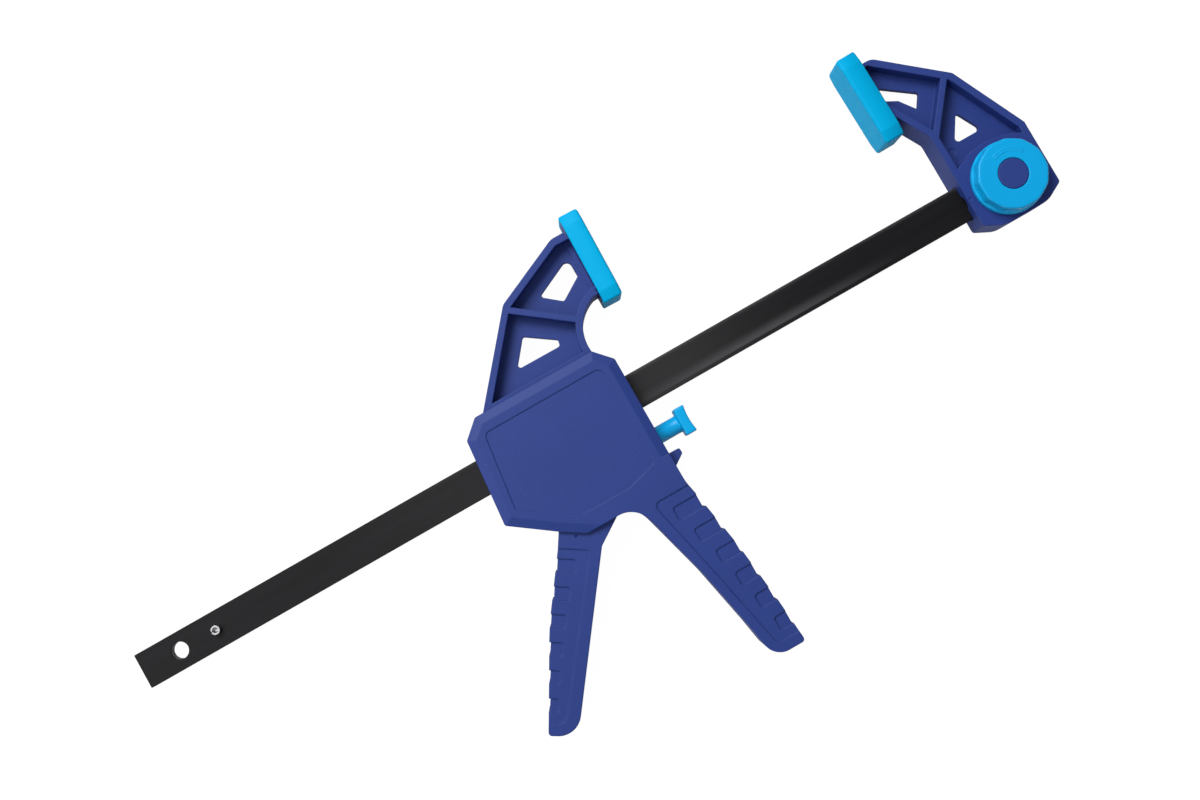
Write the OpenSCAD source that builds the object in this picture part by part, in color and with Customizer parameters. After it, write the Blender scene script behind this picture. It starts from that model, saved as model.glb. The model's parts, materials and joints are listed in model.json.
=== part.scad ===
// Quick release bar clamp, lying flat on its back.
// X runs along the bar towards the fixed jaw, Y towards the jaw tips and Z out of the front.
// The origin is the centre of the large hole at the bar's free end.

/* [Bar] */
// Height of the bar, across its wide faces
bar_w = 20; // [18:0.5:22]
// Thickness of the bar
bar_t = 6; // [5:0.5:7]
// Distance between the bar's two large holes
hole_pitch = 520; // [440:5:620]
// Bar left over beyond each large hole
bar_margin = 23; // [19:0.5:26]
// Diameter of the large holes
hole_d = 9.5; // [8.6:0.1:10.5]
// Distance from the end hole to the stop pin
stop_x = 22.5; // [20:0.5:30]
// Diameter of the stop pin
stop_d = 5; // [4:0.5:6]
// Length of the stop pin
stop_len = 13; // [10:0.5:18]

/* [Jaw pads] */
// Gap between the two clamping faces
opening = 166; // [60:1:200]
// Thickness of a pad, from its back to its clamping face
pad_t = 11.5; // [9:0.5:15]
// Height of a pad
pad_h = 53.5; // [49:0.5:58]
// Width of a pad, front to back
pad_w = 30; // [27:0.5:36]
// Wall of a pad
pad_wall = 2.4; // [1.6:0.1:3]
// Length of the sloping end bands of a pad
pad_band = 6.5; // [4:0.5:10]
// Drop of the sloping end bands
pad_drop = 2; // [0.5:0.1:3]
// Height of the pads' middle above the bar's edge
pad_rise = 66.2; // [64:0.1:70]
// Lean of each clamping face towards the other, in degrees
toe_in = 1.3; // [0:0.1:2]

/* [Jaws] */
// Thickness of both jaws, front to back
jaw_t = 22; // [19:0.5:25]
// Thickness of the web between the flanges
web_t = 3.5; // [2.5:0.5:5]
// Width of the outer flanges
flange = 4; // [3:0.5:5]
// Width of the diagonal rib
rib_w = 3.5; // [2:0.5:4]
// Height of the jaws' highest point above the bar's edge
jaw_rise = 84.7; // [82:0.1:88]
// Wall of each jaw behind its pad
pad_back = 2; // [1.6:0.1:3]

/* [Fixed jaw] */
// Wall behind the end of the bar
end_wall = 1.6; // [1.2:0.1:3]
// Depth of the fixed jaw below the bar's edge
foot_drop = 12; // [10:0.5:16]
// Distance from the lock's axis to the clamping face
fixed_reach = 49; // [48:0.1:54]
// Radius of the round swelling under the knob
hub_r = 40; // [38:0.5:42]

/* [Lock] */
// Outer radius of the lock knob
knob_r = 20.5; // [18.5:0.5:22]
// Height of the lock knob
knob_h = 12.7; // [12.7:0.1:14]
// Lobes round the knob's rim
knob_lobes = 12; // [8:1:16]
// Radius of the post that carries the knob
post_r = 13; // [12:0.5:14]
// Radius of the knob's centre cap
cap_r = 8.4; // [7:0.1:9.5]
// Radius of the cross pin
cross_r = 1; // [0.8:0.1:1.2]
// Turn of the knob from locked to free, in degrees
knob_turn = 90; // [60:5:120]

/* [Carriage case] */
// Thickness of the case, front to back
case_t = 32; // [31:0.5:36]
// Wall of the case
wall = 3; // [2.5:0.1:3.5]
// Height of the case above the bar's edge
case_above = 20; // [19:0.5:23]
// Depth of the case below the bar's edge
case_below = 44.4; // [43:0.2:48]
// Carriage centre to the case's right face
case_right = 46.6; // [46:0.2:50]
// Carriage centre to the upper end of the case's left face
case_left = 45; // [44:0.5:50]
// Depth of the sloping border of the case's face
border_drop = 1.6; // [0.8:0.1:2]
// Width of the sloping border
border_w = 5; // [3:0.5:7]
// Depth of the shallow field inside the border
field_depth = 0.4; // [0.2:0.1:0.8]

/* [Handle] */
// Length of the handle below the case
handle_len = 107.6; // [95:0.5:120]
// Width of the handle at its foot
foot_w = 18.8; // [16:0.2:24]
// Depth of the grip panels on handle and trigger
panel_depth = 0.6; // [0.4:0.1:0.8]
// Further depth of the finger grooves
groove_depth = 0.7; // [0.4:0.1:1]
// Length of a finger groove along the edge
groove_len = 8; // [6:0.5:9]
// Finger grooves on the handle
handle_grooves = 6; // [4:1:6]

/* [Trigger] */
// Thickness of the trigger, front to back
trigger_t = 24; // [20:0.5:25]
// Length of the trigger's outer edge below the case
trigger_len = 108.4; // [96:0.1:116]
// Width of the trigger's lever at its upper end
shank_w = 23.8; // [21:0.1:25]
// Width of the trigger's lever at its tip
tip_w = 16; // [13:0.5:19]
// Bulge of the trigger's outer edge
trigger_bulge = 2.5; // [0.5:0.1:3]
// Angle between the trigger and the bar, in degrees
trigger_angle = 57.5; // [55:0.5:60]
// Travel of the trigger, in degrees
trigger_swing = 28; // [15:1:28]
// Finger grooves on the trigger
trigger_grooves = 6; // [4:1:6]
// Radius of the trigger's pivot pin
pivot_r = 2.5; // [2:0.1:3]
// Radius of the nose that pushes the drive plates
nose_r = 4; // [3.5:0.1:4.5]
// Height of the nose's centre above the pivot
nose_arm = 22; // [21:0.5:23]

/* [Grip and brake plates] */
// Number of drive plates
plate_n = 2; // [1:1:2]
// Thickness of one drive plate
plate_t = 3.8; // [3:0.1:4.2]
// Width of the plates, front to back
plate_w = 22; // [16:0.5:24]
// Thickness of the brake plate
brake_t = 4; // [3.5:0.1:4.4]
// Tilt of the brake plate at rest, in degrees
brake_tilt = 7; // [6:0.5:7.5]

/* [Release button] */
// Radius of the button's shaft
shaft_r = 4.9; // [4:0.1:5.2]
// Height of the button's head
head_h = 16; // [12:0.5:18]
// Width of the button's head, front to back
head_w = 15; // [12:0.5:22]
// Thickness of the button's head
head_t = 6.6; // [5:0.2:8]
// Travel of the button
button_travel = 5; // [3:0.5:5]
// Length of shaft that stands out of the case
shaft_out = 13.9; // [10:0.1:18]

/* [Screws] */
// Radius of the case screws
screw_r = 1.5; // [1.3:0.1:1.8]
// Radius of the screw heads
screw_head_r = 3; // [2.6:0.1:3.2]

/* [Fits] */
// Radial clearance of pins and shafts in their holes
pin_gap = 0.05; // [0.02:0.01:0.09]
// Clearance between flat faces that slide on each other
slip = 0.15; // [0.1:0.05:0.2]
// Clearance between parts that only pass each other
gap = 0.3; // [0.2:0.05:0.4]

/* [Hidden] */
$fn = 64;
eps = 0.01;

// Heights are counted from the bar's upper or lower edge.
function above(d) = bar_w / 2 + d;
function below(d) = -bar_w / 2 - d;

// ---- outlines: corners are [x, y, rounding radius], counter-clockwise ----
function unit(v) = v / norm(v);
function xy(p) = [p.x, p.y];
function cyc(list, i) = list[(i + len(list)) % len(list)];
function arc(c, r, from, to, n = 12) =
  [for (i = [0 : n]) let (a = from + (to - from) * i / n) c + r * [cos(a), sin(a)]];
function fillet(a, b, c, r) =
  let (u = unit(a - b), v = unit(c - b), half = acos(max(-1, min(1, u * v))) / 2)
  let (centre = b + unit(u + v) * r / sin(half), p = b + u * r / tan(half), q = b + v * r / tan(half))
  let (from = atan2(p.y - centre.y, p.x - centre.x), to = atan2(q.y - centre.y, q.x - centre.x))
  let (turn = (to - from + 540) % 360 - 180)
  arc(centre, r, from, from + turn, max(2, ceil(abs(turn) / 7.5)));
function rounded(corners) = [
  for (i = [0 : len(corners) - 1])
    let (a = xy(cyc(corners, i - 1)), b = corners[i], c = xy(cyc(corners, i + 1)))
    each (b[2] > 0 ? fillet(a, xy(b), c, b[2]) : [xy(b)])
];
// A corner list moved inwards by d: each side is shifted and neighbours meet again.
function inset(corners, d) = [
  for (i = [0 : len(corners) - 1])
    let (a = xy(cyc(corners, i - 1)), b = xy(corners[i]), c = xy(cyc(corners, i + 1)))
    let (u = unit(b - a), v = unit(c - b), bend = cross(u, v))
    let (shift = d * ([-u.y, u.x] + [-v.y, v.x]) / (1 + u * v))
    [b.x + shift.x, b.y + shift.y, max(0, corners[i][2] - sign(bend) * d)]
];

module slab(points, low, high) {
  translate([0, 0, low]) linear_extrude(high - low) polygon(points);
}
module plate(points, t) {
  linear_extrude(t, center = true) polygon(points);
}
module block(low, high) {
  translate(low) cube(high - low);
}
module rod(r, low, high) {
  translate([0, 0, low]) cylinder(r = r, h = high - low);
}
module ring(inner, outer, low, high) {
  difference() {
    rod(outer, low, high);
    rod(inner, low - eps, high + eps);
  }
}
// Removes a sloping band along the side from p to q: w wide on the face at z = top, d deep at the rim.
module border_cut(p, q, top, back = 1) {
  run = norm(q - p);
  translate([p.x, p.y, top - border_drop])
    rotate([0, 0, atan2(q.y - p.y, q.x - p.x)])
      rotate([atan2(border_drop, border_w), 0, 0])
        translate([-back * run, -border_w, 0])
          cube([3 * run, 4 * border_w, 2 * border_w]);
}
// Open coil along Z: a wire ring swept once round for every turn, with flat dead ends.
coil_sides = 8;
coil_steps = 20;
function coil_point(r, wire, length, turns, i) =
  let (n = turns * coil_steps, rise = max(0, min(1, (i - coil_steps / 2) / (n - coil_steps))))
  let (a = 360 * i / coil_steps)
  [r * cos(a), r * sin(a), wire / 2 + (length - wire) * rise];
module coil(r, wire, length, turns) {
  n = turns * coil_steps;
  rings = [
    for (i = [0 : n])
      let (c = coil_point(r, wire, length, turns, i), a = 360 * i / coil_steps)
      [for (k = [0 : coil_sides - 1])
        let (b = 360 * k / coil_sides)
        c + wire / 2 * (cos(b) * [cos(a), sin(a), 0] + [0, 0, sin(b)])]
  ];
  points = [for (one = rings) each one];
  sides = [
    for (i = [0 : n - 1])
      for (k = [0 : coil_sides - 1])
        let (p = i * coil_sides + k, q = i * coil_sides + (k + 1) % coil_sides)
        each [[p, p + coil_sides, q], [q, p + coil_sides, q + coil_sides]]
  ];
  ends = [
    [for (k = [0 : coil_sides - 1]) k],
    [for (k = [coil_sides - 1 : -1 : 0]) n * coil_sides + k]
  ];
  polyhedron(points, concat(sides, ends));
}

// ---- bar ----
bar_end = hole_pitch + bar_margin;

module bar() {
  color([0.13, 0.13, 0.14])
    difference() {
      block([-bar_margin, -bar_w / 2, -bar_t / 2], [bar_end, bar_w / 2, bar_t / 2]);
      for (x = [0, hole_pitch])
        translate([x, 0, 0]) rod(hole_d / 2, -bar_t, bar_t);
      translate([stop_x, 0, 0]) rod(stop_d / 2, -bar_t, bar_t);
    }
}

// Rolled spring pin with its slit.
stop_wall = 0.9;
module stop_pin() {
  color([0.62, 0.62, 0.64])
    translate([stop_x, 0, 0])
      difference() {
        ring(stop_d / 2 - stop_wall, stop_d / 2, -stop_len / 2, stop_len / 2);
        block([-stop_d, -stop_wall / 3, -stop_len], [0, stop_wall / 3, stop_len]);
      }
}

// ---- pads and the heads that carry them ----
pad_y = above(pad_rise);
face_z = jaw_t / 2;
slide_reach = 69;
slide_x = hole_pitch - fixed_reach - opening - slide_reach;
head_depth = pad_t - pad_wall;
head_h_pad = pad_h - 2 * pad_wall;
head_w_pad = pad_w - 2 * pad_wall;
pad_round = 2;
// The pad leans on the jaw's upright end, so it stands off by its lean.
pad_lean = pad_h / 2 * sin(toe_in) + slip;
head_root = 2 * pad_lean + 1;
root_h = 17;
pad_side = [
  [0, -pad_h / 2, 1], [pad_t, -pad_h / 2, pad_round], [pad_t, pad_h / 2, 1], [0, pad_h / 2, 0.5]
];
pad_end = [
  [-pad_h / 2, -pad_w / 2 + pad_drop], [-pad_h / 2 + pad_band, -pad_w / 2],
  [pad_h / 2 - pad_band, -pad_w / 2], [pad_h / 2, -pad_w / 2 + pad_drop],
  [pad_h / 2, pad_w / 2 - pad_drop], [pad_h / 2 - pad_band, pad_w / 2],
  [-pad_h / 2 + pad_band, pad_w / 2], [-pad_h / 2, pad_w / 2 - pad_drop]
];
// Places a pad, built with its back at x = 0, on the sliding (side 1) or fixed (side -1) jaw.
module at_pad(side) {
  x = side > 0 ? slide_x + slide_reach - pad_t : hole_pitch - fixed_reach + pad_t;
  translate([x, pad_y, 0])
    mirror([side > 0 ? 0 : 1, 0, 0]) rotate([0, 0, -toe_in]) children();
}
module pad_cap() {
  color([0.0, 0.6, 0.87])
    difference() {
      intersection() {
        plate(rounded(pad_side), pad_w);
        rotate([90, 0, 90]) linear_extrude(pad_t) polygon(pad_end);
      }
      block([-1, -head_h_pad / 2, -head_w_pad / 2], [head_depth, head_h_pad / 2, head_w_pad / 2]);
    }
}
// The block on the jaw that fills the pad's pocket.
module pad_head() {
  block(
    [0, -head_h_pad / 2 + slip, -head_w_pad / 2 + slip],
    [head_depth - slip, head_h_pad / 2 - slip, head_w_pad / 2 - slip]
  );
  block([-head_root, -root_h, -face_z], [eps, root_h, face_z]);
}
// Sinks the wall behind the pad almost to the web on both faces, between two heights.
sunk_z = web_t / 2 + 1;
module sunk_wall(side, low, high) {
  at_pad(side)
    for (z = [[-face_z - 1, -sunk_z], [sunk_z, face_z + 1]])
      block([-2 * pad_lean - pad_back, low - pad_y, z[0]], [0, high - pad_y, z[1]]);
}
module sliding_jaw_pad() {
  at_pad(1) pad_cap();
}
module fixed_jaw_pad() {
  at_pad(-1) pad_cap();
}

// ---- fixed jaw, built round the lock's axis ----
jaw_blue = [0.16, 0.2, 0.5];
fixed_half = bar_margin + slip + end_wall;
fixed_back = pad_t + pad_lean - fixed_reach;
elbow = [4, above(55.6)];
brow_x = -31.3;
throat_y = above(52);
cheek_y = above(30.6);
fixed_corners = [
  [-fixed_half, below(foot_drop - 5.5), 2], [-fixed_half + 11, below(foot_drop), 14],
  [fixed_half - 11, below(foot_drop), 14], [fixed_half, below(foot_drop - 6), 2],
  [fixed_half, above(12.3), 3], [elbow.x, elbow.y, 4], [brow_x, above(jaw_rise), 7],
  [fixed_back, above(jaw_rise), 0], [fixed_back, throat_y, 0], [-fixed_half, cheek_y, 4]
];
// The recess runs on further left, so that only a thin wall is left behind the pad, sunk between
// the two flanges.
spare_flange = flange - pad_back;
brow_slope = (above(jaw_rise) - elbow.y) / (brow_x - elbow.x);
throat_slope = (throat_y - cheek_y) / (fixed_back + fixed_half);
recess_x = fixed_back - spare_flange;
fixed_recess = [
  for (i = [0 : len(fixed_corners) - 1])
    if (i != 6)
      i == 7 ? [recess_x, above(jaw_rise) + brow_slope * (recess_x - brow_x), 0]
      : i == 8 ? [recess_x, throat_y - throat_slope * spare_flange, 0]
      : fixed_corners[i]
];
fixed_sunk_low = throat_y + throat_slope * pad_back + flange * norm([1, throat_slope]);
fixed_sunk_high = above(jaw_rise) + brow_slope * (fixed_back + pad_back - brow_x)
  - flange * norm([1, brow_slope]);
lower_window = [[-2.4, above(36.5), 1.5], [-12, above(21.4), 2], [5.6, above(21.4), 2]];
window_left = fixed_back + pad_back + 1.5;
upper_window = [
  [window_left, above(69.6), 1], [window_left, above(61.3), 1], [-27, above(58), 1.5],
  [-20, above(48.6), 1], [-14.8, above(56.3), 1]
];
ejector_r = 2.2;
ejector = [-fixed_half + flange + 5.2, above(18)];
rib_low = [-20.8, above(30.8)];
rib_high = [-0.6, above(56.6)];
hub_drop = 16.5;
bore_r = hole_d / 2 - pin_gap;
lock_r = bore_r - pin_gap;
lift = bar_t + gap;
lock_tip = -bar_t / 2;
washer_t = 1.2;
washer_z = face_z + 1;
washer_r = 7;
piston_top = washer_z - lift - 2 * slip;
spring_seat = lock_tip + 3.5;
stem_r = 2;
piston_wall = 0.85;
cross_z = washer_z + washer_t + slip + cross_r;
stem_top = cross_z + cross_r + 0.2;
roof_z = cross_z + cross_r + lift + 2 * slip;
post_top = roof_z - gap;
track_r = post_r + 2.6;
cross_len = 2 * (track_r - 0.5);

// A straight rib between two points of the outline, as deep as the flanges.
module rib(p, q, w, t) {
  run = norm(q - p);
  translate([p.x, p.y, 0])
    rotate([0, 0, atan2(q.y - p.y, q.x - p.x)])
      block([-2, -w / 2, -t / 2], [run + 2, w / 2, t / 2]);
}
module fixed_jaw_pocket() {
  difference() {
    slab(rounded(inset(fixed_recess, flange)), web_t / 2, face_z + 1);
    rib(rib_low, rib_high, rib_w, 2 * jaw_t);
    translate([0, -hub_drop, 0]) rod(hub_r, -jaw_t, jaw_t);
  }
}
module fixed_jaw() {
  color(jaw_blue)
    difference() {
      union() {
        fixed_jaw_body();
        at_pad(-1) pad_head();
      }
      sunk_wall(-1, fixed_sunk_low, fixed_sunk_high);
    }
}
module fixed_jaw_body() {
  translate([hole_pitch, 0, 0])
    difference() {
      union() {
        plate(rounded(fixed_corners), jaw_t);
        rod(post_r, face_z - 1, post_top);
      }
      // index mark beside the knob
      translate([-knob_r - 2.2, 0, 0])
        slab([[-1.3, 1.1], [-1.3, -1.1], [0.9, 0]], face_z - 0.4, face_z + 1);
      fixed_jaw_pocket();
      mirror([0, 0, 1]) fixed_jaw_pocket();
      // sunk mark of an ejector pin
      translate([ejector.x, ejector.y, 0]) rod(ejector_r, web_t / 2 - 0.3, face_z);
      plate(rounded(lower_window), 2 * jaw_t);
      plate(rounded(upper_window), 2 * jaw_t);
      block(
        [-fixed_half - 1, -bar_w / 2 - slip, -bar_t / 2 - slip],
        [bar_margin + slip, bar_w / 2 + slip, bar_t / 2 + slip]
      );
      // relief over the bar at the mouth
      translate([-fixed_half - 1, 0, bar_t / 2]) rotate([0, 90, 0]) cylinder(r = 3.5, h = 4);
      rod(bore_r, 0, washer_z + eps);
      rod(washer_r, washer_z, post_top + 1);
      // slots that let the cross pin rise but not turn
      block(
        [-post_r - 1, -cross_r - slip, washer_z + washer_t],
        [post_r + 1, cross_r + slip, post_top + 1]
      );
    }
}

// ---- lock ----
module lock_pin() {
  color([0.7, 0.7, 0.72])
    translate([hole_pitch, 0, 0])
      difference() {
        union() {
          rod(lock_r, lock_tip, piston_top);
          rod(stem_r, 0, stem_top);
        }
        ring(stem_r, lock_r - piston_wall, spring_seat, piston_top + 1);
        translate([0, 0, cross_z]) rotate([0, 90, 0]) rod(cross_r + pin_gap / 2, -5, 5);
      }
}
module lock_cross_pin() {
  color([0.75, 0.75, 0.77])
    translate([hole_pitch, 0, cross_z])
      rotate([0, 90, 0]) rod(cross_r, -cross_len / 2, cross_len / 2);
}
lock_wire = 0.8;
lock_coil_r = (stem_r + lock_r - piston_wall) / 2;
module lock_spring() {
  color([0.8, 0.8, 0.82])
    translate([hole_pitch, 0, spring_seat])
      coil(lock_coil_r, lock_wire, washer_z - spring_seat, 6);
}
module lock_washer() {
  color([0.65, 0.65, 0.67])
    translate([hole_pitch, 0, 0])
      ring(stem_r + pin_gap, washer_r - pin_gap, washer_z, washer_z + washer_t);
}
// The track in the knob climbs by the pin's lift over the knob's turn, in short steps.
track_steps = 8;
module knob_track() {
  step = knob_turn / track_steps;
  rise = lift / track_steps;
  // a pin between two steps, or with its width across them, still clears both
  spare = slip + rise * (0.5 + atan((cross_r + slip) / post_r) / step);
  half = track_r * tan(step / 2) + eps;
  for (end = [0, 180])
    for (i = [0 : track_steps])
      rotate([0, 0, end - i * step])
        block(
          [post_r - 1, -max(half, cross_r + slip), cross_z - cross_r - spare + i * rise],
          [track_r, max(half, cross_r + slip), cross_z + cross_r + spare + i * rise]
        );
}
knob_low = face_z + gap;
knob_top = face_z + knob_h + gap;
lobe_r = 8;
lobe_depth = 0.7;
module lock_knob() {
  color([0.0, 0.6, 0.87])
    translate([hole_pitch, 0, 0])
      difference() {
        rod(knob_r, knob_low, knob_top);
        rod(post_r + pin_gap, knob_low - 1, roof_z);
        rod(cap_r, knob_low, knob_top + 1);
        knob_track();
        for (i = [0 : knob_lobes - 1])
          rotate([0, 0, 360 * i / knob_lobes])
            translate([knob_r + lobe_r - lobe_depth, 0, 0]) rod(lobe_r, knob_low + 3.5, knob_top + 1);
        // raised double arc left standing between two fine grooves
        for (r = [cap_r + 4.7, cap_r + 6.1])
          rotate([0, 0, 30])
            rotate_extrude(angle = 82) translate([r, knob_top - 0.3]) square([0.5, 1]);
      }
}
module knob_cap() {
  color(jaw_blue)
    translate([hole_pitch, 0, 0]) rod(cap_r - pin_gap, stem_top + lift + 0.1, knob_top - 0.2);
}

// ---- carriage: everything from here on is placed from its own centre ----
module on_carriage() {
  translate([slide_x, 0, 0]) children();
}
case_face = case_t / 2;
cavity = case_face - wall;
case_low = below(case_below);
handle_foot = case_low - handle_len;
foot_right = 60.1;
case_corners = [
  [-case_left + 10, above(case_above), 2], [-case_left, above(case_above - 9), 2],
  [-case_left - 4.6, below(18.9), 2], [-case_left + 19.4, case_low + 8.1, 4],
  [-case_left + 32, case_low, 2.5], [16.6, case_low, 14], [31.2, case_low - 48.4, 600],
  [foot_right - foot_w, handle_foot, 10.5], [foot_right, handle_foot, 2],
  [case_right + 8.8, case_low - 45.8, 600], [case_right, case_low - 1.6, 20],
  [case_right, above(case_above - 9.8), 2], [case_right - 9, above(case_above), 2]
];
field_corners = [
  [-case_left + 10.2, above(case_above - 10.2), 3.5], [-case_left + 4.6, below(14.5), 2.5],
  [-case_left + 30.8, case_low + 12.4, 3], [-case_left + 34.8, case_low + 10, 3],
  [18.5, case_low + 9.8, 6], [case_right - 9, case_low + 15, 2],
  [case_right - 9, above(case_above - 10.2), 4]
];
// The grip panel lies inside the handle, open to its outer edge.
panel_corners = [
  [25.2, case_low - 4.2, 3], [35.2, case_low - 48.4, 500], [46.2, handle_foot + 6, 4],
  [90, handle_foot + 6, 0], [90, case_low - 4.2, 0]
];
groove_pitch = 0.1445 * handle_len;
groove_top = case_low - 10.9;
groove_round = 1.8;
// The first groove reaches furthest in and bites deepest into the handle's edge.
first_reach = 14.8;
reach_step = 1.5;
first_bite = 0.85;
bite_step = 0.13;
function handle_edge(y) =
  lookup(y, [[handle_foot, foot_right], [case_low - 45.8, case_right + 7.7], [case_low - 1.6, case_right]]);
beam_low = above(4);
guide_t = 4;
guide_drop = 3;
guide_x = -case_left + wall + gap;
mid_guide = [1, 19];
// The nose swings by the same angle to both sides of the line above the pivot.
nose_lean = nose_arm * [sin(trigger_swing / 2), cos(trigger_swing / 2)];
pivot = [mid_guide[0] - 2 * gap - nose_r - nose_lean.x, below(28)];
nose = pivot + nose_lean;
plates_right = nose.x - nose_r - slip;
plates_left = plates_right - plate_n * plate_t - (plate_n - 1) * slip;
right_guide = [40.2, case_right - wall - gap];
button_y = below(17.5);
seat_x = [19, 22];
brake_top = [34, beam_low];
brake_foot = 36.5;
brake_x = brake_top.x + (brake_top.y - button_y) * tan(brake_tilt);
brake_face = brake_x + brake_t / 2 / cos(brake_tilt);
boss_r = 4;
mouth_x = 10;
hook_top = case_low + 15.5;
case_screw_spots = [
  [-22, above(10.4)], [24, above(10.4)], [-38, below(20)], [38, case_low + 6.4],
  [36.5, case_low - 38], [45.5, handle_foot + 13]
];
head_x = slide_reach - pad_t - pad_lean;
jaw_foot = [-30.3, head_x - 18.75];

// One finger groove: a pocket on the face, open to the edge at right, that bites into the edge too.
module groove(reach) {
  points = [
    [-reach, 0, groove_round], [-reach, -groove_len, groove_round],
    [20, -groove_len, 0], [20, 0, 0]
  ];
  slab(rounded(points), -groove_depth, 2);
}
module handle_groove_cuts() {
  for (i = [0 : handle_grooves - 1]) {
    y = groove_top - i * groove_pitch;
    edge = handle_edge(y - groove_len / 2) - first_bite + i * bite_step;
    translate([edge, y, case_face - panel_depth]) groove(first_reach - i * reach_step);
    block([edge, y - groove_len, -1], [edge + 20, y, case_face + 1]);
  }
}
module half_case() {
  difference() {
    union() {
      difference() {
        slab(rounded(case_corners), 0, case_face);
        slab(rounded(inset(case_corners, wall)), -1, cavity);
      }
      for (p = case_screw_spots)
        translate([p.x, p.y, 0]) rod(boss_r, 0, cavity + eps);
      translate([pivot.x, pivot.y, 0]) rod(pivot_r + 3, trigger_t / 2 + gap, cavity + eps);
      // seat of the brake spring
      block([seat_x[0], button_y - 6, 0], [seat_x[1], button_y + 6, cavity + eps]);
      // hook above the handle
      slab(
        rounded([
          [case_right - 1, case_low + 6, 0], [case_right, case_low + 7.3, 4],
          [case_right + 6.8, case_low + 12, 1], [case_right + 6.8, hook_top - 0.2, 1],
          [case_right, hook_top, 1.5], [case_right - 1, hook_top + 1.5, 0]
        ]),
        0, case_face / 2
      );
    }
    // the shallow field, its sloping border and the grip panel
    slab(rounded(field_corners), case_face - field_depth, case_face + 1);
    for (i = [0, 1, 2, 3, 11, 12])
      border_cut(xy(cyc(case_corners, i)), xy(cyc(case_corners, i + 1)), case_face);
    border_cut([case_right, hook_top], xy(case_corners[11]), case_face, 0);
    slab(rounded(panel_corners), case_face - panel_depth, case_face + 1);
    handle_groove_cuts();
    // ways through the rim: jaw, bar, trigger, button
    block([jaw_foot[0] - gap, above(10), -1], [jaw_foot[1] + gap, above(case_above + 1), face_z + gap]);
    block([-80, -bar_w / 2 - gap, -1], [80, bar_w / 2 + gap, bar_t / 2 + gap]);
    slab(
      [
        xy(lever(-8, -3 * gap, 0)), xy(lever(9, -3 * gap, 0)), [-20, case_low - 2], [mouth_x, case_low - 2],
        [mouth_x, case_low + 15]
      ],
      -1, trigger_t / 2 + gap
    );
    translate([0, button_y, 0]) rotate([0, 90, 0]) rod(shaft_r + pin_gap, case_right - 10, case_right + 10);
    translate([pivot.x, pivot.y, 0]) rod(pivot_r + pin_gap, 0, cavity + wall / 2);
  }
}
module front_case() {
  color(jaw_blue)
    on_carriage()
      difference() {
        half_case();
        for (p = case_screw_spots)
          translate([p.x, p.y, 0]) rod(screw_r + pin_gap, -1, 9);
      }
}
screw_seat = cavity - 1.6;
module back_case() {
  color(jaw_blue)
    on_carriage()
      difference() {
        mirror([0, 0, 1]) half_case();
        for (p = case_screw_spots)
          translate([p.x, p.y, 0]) {
            rod(screw_r + 2 * pin_gap, -case_face, 1);
            rod(screw_head_r + gap, -case_face - 1, -screw_seat);
          }
      }
}
head_high = 2.2;
module case_screws() {
  color([0.3, 0.3, 0.32])
    on_carriage()
      for (p = case_screw_spots)
        translate([p.x, p.y, 0])
          difference() {
            union() {
              rod(screw_r, -screw_seat - eps, 8.5);
              rod(screw_head_r, -screw_seat - head_high, -screw_seat);
            }
            for (turn = [0, 90])
              rotate([0, 0, turn])
                block([-1.8, -0.45, -screw_seat - 3], [1.8, 0.45, -screw_seat - 1]);
          }
}

// ---- sliding jaw with the bar guides that lie inside the case ----
throat_c = [head_x + 5.35, above(22.9)];
throat_r = 24.4;
pocket_floor = case_above + 2.2;
recess_r = throat_r + flange;
throat_end = acos((head_x - 3 - throat_c.x) / throat_r);
recess_start = 180 - asin((above(pocket_floor) - throat_c.y) / recess_r);
recess_right = head_x - pad_back;
recess_end = acos((recess_right - 0.2 - throat_c.x) / recess_r);
sliding_sunk_low = throat_c.y + recess_r * sin(recess_end) + 0.3;
sliding_sunk_high = above(jaw_rise - flange - 0.4);
brow = [head_x - 7.95, above(jaw_rise)];
temple = [8.5, above(66.3)];
sliding_outline = concat(
  [[jaw_foot[0], above(15)], [jaw_foot[1], above(15)]],
  arc(throat_c, throat_r, 187, throat_end, 16),
  [[head_x, above(46)], [head_x, above(jaw_rise)]],
  fillet([head_x, above(jaw_rise)], brow, temple, 8),
  fillet(brow, temple, [jaw_foot[0], above(20)], 6),
  [[jaw_foot[0], above(20)]]
);
foot_recess = [jaw_foot[0] + 7, above(pocket_floor)];
inner_brow = brow + [0.8, -flange];
inner_temple = temple + [0.45 * flange, -0.9 * flange];
// The recess between the flanges follows the outline one flange width further in.
sliding_recess = concat(
  [foot_recess],
  arc(throat_c, recess_r, recess_start, recess_end, 16),
  [[recess_right, sliding_sunk_low], [recess_right, sliding_sunk_high]],
  fillet([recess_right, sliding_sunk_high], inner_brow, inner_temple, 4),
  fillet(inner_brow, inner_temple, foot_recess, 3)
);
slide_rib = [[9.75, above(62.1)], [head_x - 15.7, above(38.4)]];
slide_lower_window = [
  [9.3, above(46.8), 1.5], [-2.4, above(32.3), 1.5], [jaw_foot[1] - 13.4, above(32.1), 1.5],
  [jaw_foot[1] - 12.6, above(35.6), 1]
];
slide_upper_window = [
  [head_x - 28.4, above(61.3), 1.5], [head_x - 17.8, above(52.6), 1.5], [head_x - 4.4, above(61), 1],
  [head_x - 4.4, above(72.7), 3]
];
module sliding_pocket() {
  difference() {
    slab(sliding_recess, web_t / 2, face_z + 1);
    rib(slide_rib[0], slide_rib[1], rib_w, 2 * jaw_t);
  }
}
inner_half = cavity - gap;
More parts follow.
